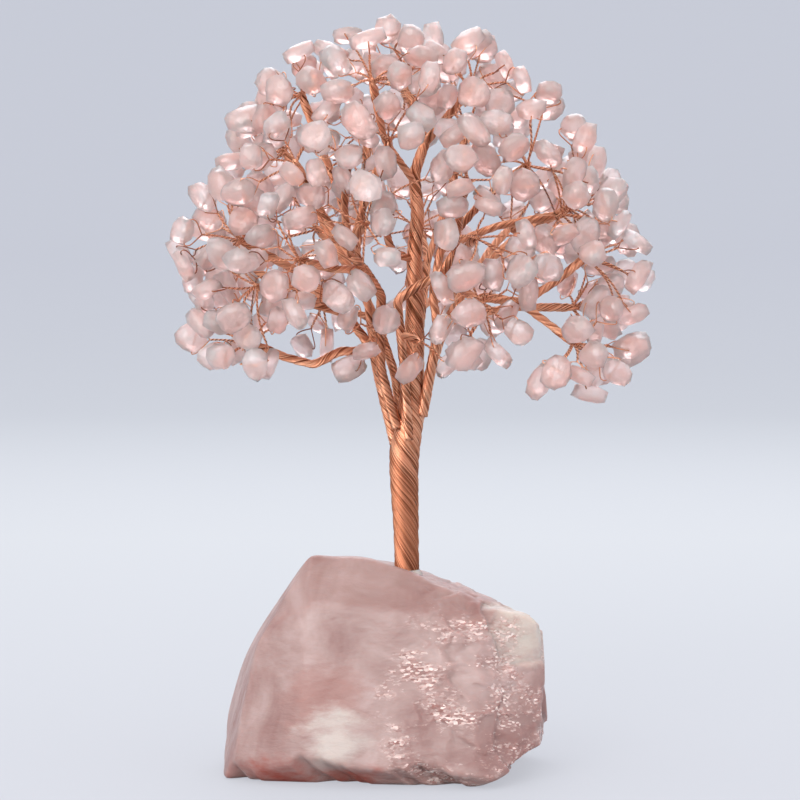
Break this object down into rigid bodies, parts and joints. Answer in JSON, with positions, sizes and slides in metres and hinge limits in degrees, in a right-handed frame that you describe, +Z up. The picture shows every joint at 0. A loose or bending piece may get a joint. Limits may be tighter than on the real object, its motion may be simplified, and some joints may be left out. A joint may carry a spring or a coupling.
{
  "type": "gemstone tree ornament",
  "caption": "Miniature tree of twisted copper wire on a raw rose quartz base, its twigs ending in tumbled rose quartz chips, with limbs that bend outwards by hand.",
  "frame": {"origin": "on the base stone's flat resting face, 1.8 mm to the left of the trunk's foot axis", "axes": "+Z up out of the resting face, +X along the stone's longer side to the right as seen from the front, -Y towards the front"},
  "size_m": [0.1276, 0.1065, 0.1976],
  "materials": {
    "rough_rose_quartz": "rough",
    "tumbled_rose_quartz": "polished",
    "copper_wire": "bright",
    "clear_resin": "gloss"
  },
  "bodies": {
    "trunk": {"base_stone": "rough_rose_quartz", "resin_seat": "clear_resin", "trunk": "copper_wire", "twigs_leader": "copper_wire", "chips_top": "tumbled_rose_quartz", "chips_top_right": "tumbled_rose_quartz", "chips_top_front": "tumbled_rose_quartz", "chips_centre": "tumbled_rose_quartz", "chips_top_back": "tumbled_rose_quartz"},
    "left_limb": {"limb_left": "copper_wire", "twigs_left": "copper_wire", "chips_left_low": "tumbled_rose_quartz", "chips_left": "tumbled_rose_quartz", "chips_left_front": "tumbled_rose_quartz", "chips_left_back": "tumbled_rose_quartz", "chips_left_top": "tumbled_rose_quartz"},
    "front_left_limb": {"limb_front_left": "copper_wire", "twigs_front_left": "copper_wire", "chips_front_left": "tumbled_rose_quartz", "chips_left_middle": "tumbled_rose_quartz", "chips_left_high": "tumbled_rose_quartz", "chips_front_upper": "tumbled_rose_quartz", "chips_front_high": "tumbled_rose_quartz", "chips_front_low_left": "tumbled_rose_quartz"},
    "front_right_limb": {"limb_front_right": "copper_wire", "twigs_front_right": "copper_wire", "chips_front_right": "tumbled_rose_quartz", "chips_front_right_high": "tumbled_rose_quartz", "chips_front_right_low": "tumbled_rose_quartz", "chips_front_low_right": "tumbled_rose_quartz"},
    "right_limb": {"limb_right": "copper_wire", "twigs_right": "copper_wire", "chips_right": "tumbled_rose_quartz", "chips_right_middle": "tumbled_rose_quartz", "chips_right_low": "tumbled_rose_quartz", "chips_right_high": "tumbled_rose_quartz"},
    "back_right_limb": {"limb_back_right": "copper_wire", "twigs_back_right": "copper_wire", "chips_right_back": "tumbled_rose_quartz", "chips_back_right": "tumbled_rose_quartz", "chips_back_right_low": "tumbled_rose_quartz"},
    "back_limb": {"limb_back": "copper_wire", "twigs_back": "copper_wire", "chips_back": "tumbled_rose_quartz", "chips_back_high": "tumbled_rose_quartz", "chips_back_low": "tumbled_rose_quartz"},
    "back_left_limb": {"limb_back_left": "copper_wire", "twigs_back_left": "copper_wire", "chips_back_left": "tumbled_rose_quartz", "chips_left_back_high": "tumbled_rose_quartz", "chips_back_left_high": "tumbled_rose_quartz", "chips_back_left_low": "tumbled_rose_quartz"}
  },
  "joints": [
    {"name": "left_limb_bend", "type": "hinge", "parent": "trunk", "child": "left_limb", "pos_m": [-0.0012, 0.0004, 0.086], "axis": [0.0872, -0.9962, 0], "range_deg": [0, 12]},
    {"name": "front_left_limb_bend", "type": "hinge", "parent": "trunk", "child": "front_left_limb", "pos_m": [-0.0006, -0.0023, 0.0905], "axis": [0.8191, -0.5736, 0], "range_deg": [0, 12]},
    {"name": "front_right_limb_bend", "type": "hinge", "parent": "trunk", "child": "front_right_limb", "pos_m": [0.0024, -0.0031, 0.0875], "axis": [0.8829, 0.4695, 0], "range_deg": [0, 12]},
    {"name": "right_limb_bend", "type": "hinge", "parent": "trunk", "child": "right_limb", "pos_m": [0.0057, -0.0012, 0.0935], "axis": [0.342, 0.9397, 0], "range_deg": [0, 12]},
    {"name": "back_right_limb_bend", "type": "hinge", "parent": "trunk", "child": "back_right_limb", "pos_m": [0.0044, 0.0024, 0.0885], "axis": [-0.5736, 0.8191, 0], "range_deg": [0, 12]},
    {"name": "back_limb_bend", "type": "hinge", "parent": "trunk", "child": "back_limb", "pos_m": [0.0029, 0.0031, 0.095], "axis": [-0.9848, 0.1736, 0], "range_deg": [0, 12]},
    {"name": "back_left_limb_bend", "type": "hinge", "parent": "trunk", "child": "back_left_limb", "pos_m": [0.0002, 0.0031, 0.092], "axis": [-0.766, -0.6428, 0], "range_deg": [0, 12]}
  ]
}
